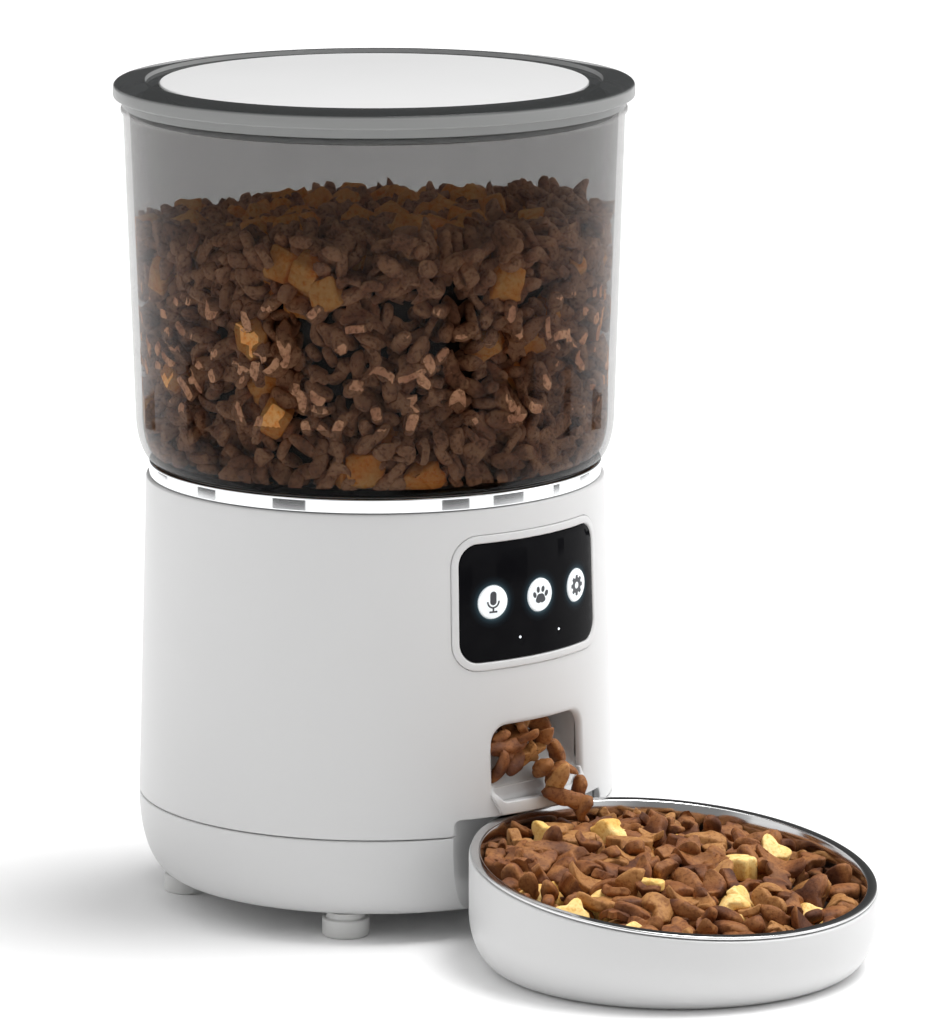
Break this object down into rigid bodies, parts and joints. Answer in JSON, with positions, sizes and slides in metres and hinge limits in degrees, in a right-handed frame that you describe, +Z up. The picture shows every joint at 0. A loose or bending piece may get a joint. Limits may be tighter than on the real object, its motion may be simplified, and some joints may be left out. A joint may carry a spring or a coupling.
{
  "type": "automatic pet feeder",
  "caption": "Round automatic pet feeder: lidded smoked hopper, white housing with a curved control panel, an outlet chute and a tilted steel bowl in a docked tray.",
  "frame": {"origin": "on the floor, in the middle of the feeder's whole footprint, bowl included", "axes": "+Z up; -Y out of the front, towards the bowl; +X to the right for someone facing the control panel"},
  "size_m": [0.197, 0.332, 0.3144],
  "materials": {
    "smoked_clear": "clear smoked, glossy",
    "smoked_lid": "dark smoked, glossy",
    "gloss_white": "smooth semi-gloss",
    "satin_white": "satin",
    "foot_white": "soft matt",
    "chrome": "mirror",
    "steel": "polished rim, finely brushed inside",
    "gloss_black": "high gloss",
    "matte_black": "matt",
    "backlit_white": "translucent, lit from behind",
    "silicone": "matt translucent",
    "nylon": "satin",
    "circuit_board": "solder-masked",
    "motor_steel": "plain",
    "brass": "plain"
  },
  "bodies": {
    "base": {"base_shell": "gloss_white", "upper_housing": "gloss_white", "hopper_seat": "gloss_white", "chrome_ring": "chrome", "foot_front_left": "foot_white", "foot_front_right": "foot_white", "foot_rear_left": "foot_white", "foot_rear_right": "foot_white", "base_screw_front_left": "motor_steel", "base_screw_front_right": "motor_steel", "base_screw_rear_left": "motor_steel", "base_screw_rear_right": "motor_steel", "battery_contact_left": "brass", "battery_contact_right": "brass", "panel_bezel": "gloss_white", "panel_fascia": "gloss_black", "panel_board": "circuit_board", "indicator_lens_left": "backlit_white", "indicator_lens_right": "backlit_white", "record_switch": "matte_black", "feed_switch": "matte_black", "settings_switch": "matte_black", "dispenser_cup": "satin_white", "portion_baffle": "satin_white", "shaft_bush": "brass", "gear_plate": "satin_white", "gearhead": "motor_steel", "motor_can": "motor_steel", "chute": "satin_white", "outlet_spout": "gloss_white", "main_board": "circuit_board", "speaker": "matte_black", "dc_inlet": "matte_black"},
    "hopper": {"hopper_tank": "smoked_clear"},
    "lid": {"lid_ring": "smoked_lid", "lid_panel": "gloss_white", "lid_seal": "silicone"},
    "rotor": {"portion_rotor": "silicone", "rotor_shaft": "motor_steel", "rotor_gear": "nylon"},
    "pinion": {"drive_pinion": "nylon", "pinion_shaft": "motor_steel"},
    "record_key": {"record_button": "backlit_white"},
    "feed_key": {"feed_button": "backlit_white"},
    "settings_key": {"settings_button": "backlit_white"},
    "tray": {"bowl_tray": "gloss_white"},
    "bowl": {"steel_bowl": "steel"},
    "cover": {"battery_cover": "satin_white"}
  },
  "joints": [
    {"name": "hopper_lift", "type": "slide", "parent": "base", "child": "hopper", "axis": [0, 0, 1], "range_m": [0, 0.12]},
    {"name": "lid_lift", "type": "slide", "parent": "hopper", "child": "lid", "axis": [0, 0, 1], "range_m": [0, 0.1]},
    {"name": "rotor_spin", "type": "hinge", "parent": "base", "child": "rotor", "pos_m": [0, 0.0675, 0.13], "axis": [0, 0, 1], "continuous": true},
    {"name": "pinion_spin", "type": "hinge", "parent": "base", "child": "pinion", "pos_m": [0, 0.1015, 0.1065], "axis": [0, 0, 1], "continuous": true},
    {"name": "record_press", "type": "slide", "parent": "base", "child": "record_key", "axis": [0.2487, 0.9686, 0], "range_m": [0, 0.0008], "stiffness_N_per_m": 1500, "springref_m": -0.0003},
    {"name": "feed_press", "type": "slide", "parent": "base", "child": "feed_key", "axis": [0, 1, 0], "range_m": [0, 0.0008], "stiffness_N_per_m": 1500, "springref_m": -0.0003},
    {"name": "settings_press", "type": "slide", "parent": "base", "child": "settings_key", "axis": [-0.2487, 0.9686, 0], "range_m": [0, 0.0008], "stiffness_N_per_m": 1500, "springref_m": -0.0003},
    {"name": "tray_pull", "type": "slide", "parent": "base", "child": "tray", "axis": [0, -1, 0], "range_m": [0, 0.1]},
    {"name": "bowl_tilt", "type": "hinge", "parent": "tray", "child": "bowl", "pos_m": [0, -0.0153, 0.0454], "axis": [-1, 0, 0], "range_deg": [0, 10]},
    {"name": "cover_drop", "type": "slide", "parent": "base", "child": "cover", "axis": [0, 0, -1], "range_m": [0, 0.03]}
  ],
  "couplings": [
    {"joint": "pinion_spin", "follows": "rotor_spin", "ratio": -2.8571}
  ]
}
